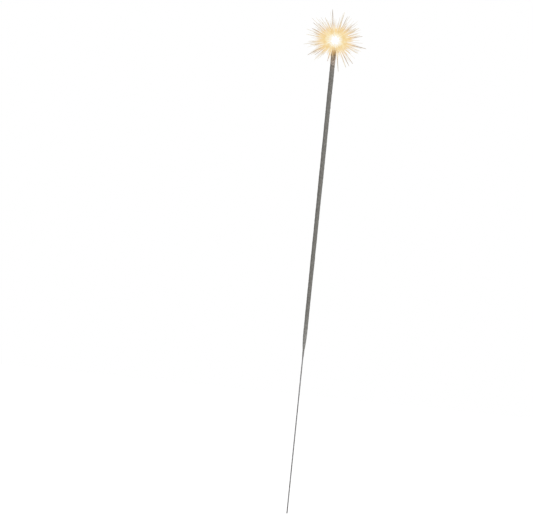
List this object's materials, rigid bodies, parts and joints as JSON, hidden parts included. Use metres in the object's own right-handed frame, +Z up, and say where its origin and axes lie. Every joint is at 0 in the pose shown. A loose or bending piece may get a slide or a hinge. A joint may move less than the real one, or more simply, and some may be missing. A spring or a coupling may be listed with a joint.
{
  "type": "hand sparkler",
  "caption": "Burning hand sparkler: a steel wire with a bare handle and a dipped coat of grey spark paste, a molten bead at the fire and a burst of golden sparks.",
  "frame": {"origin": "middle of the wire's lower cut end, where the bare handle is held or stuck in", "axes": "+Z up the wire from the handle to the fire; +X to the right and +Y away in the front view, the sparkler being round about Z"},
  "size_m": [0.0553, 0.0496, 0.4645],
  "materials": {
    "steel_wire": "satin",
    "primer_paste": "matte",
    "spark_paste": "matte",
    "molten_bead": "gloss",
    "hot_slag": "matte",
    "streaks": "matte",
    "close_sparks": "matte"
  },
  "bodies": {
    "root": {"wire": "steel_wire", "first_dip_coat": "primer_paste", "second_dip_coat": "spark_paste", "final_dip_coat": "spark_paste", "burning_bead": "molten_bead", "slag_crust": "hot_slag", "long_sparks": "streaks", "short_sparks": "close_sparks"}
  },
  "joints": []
}
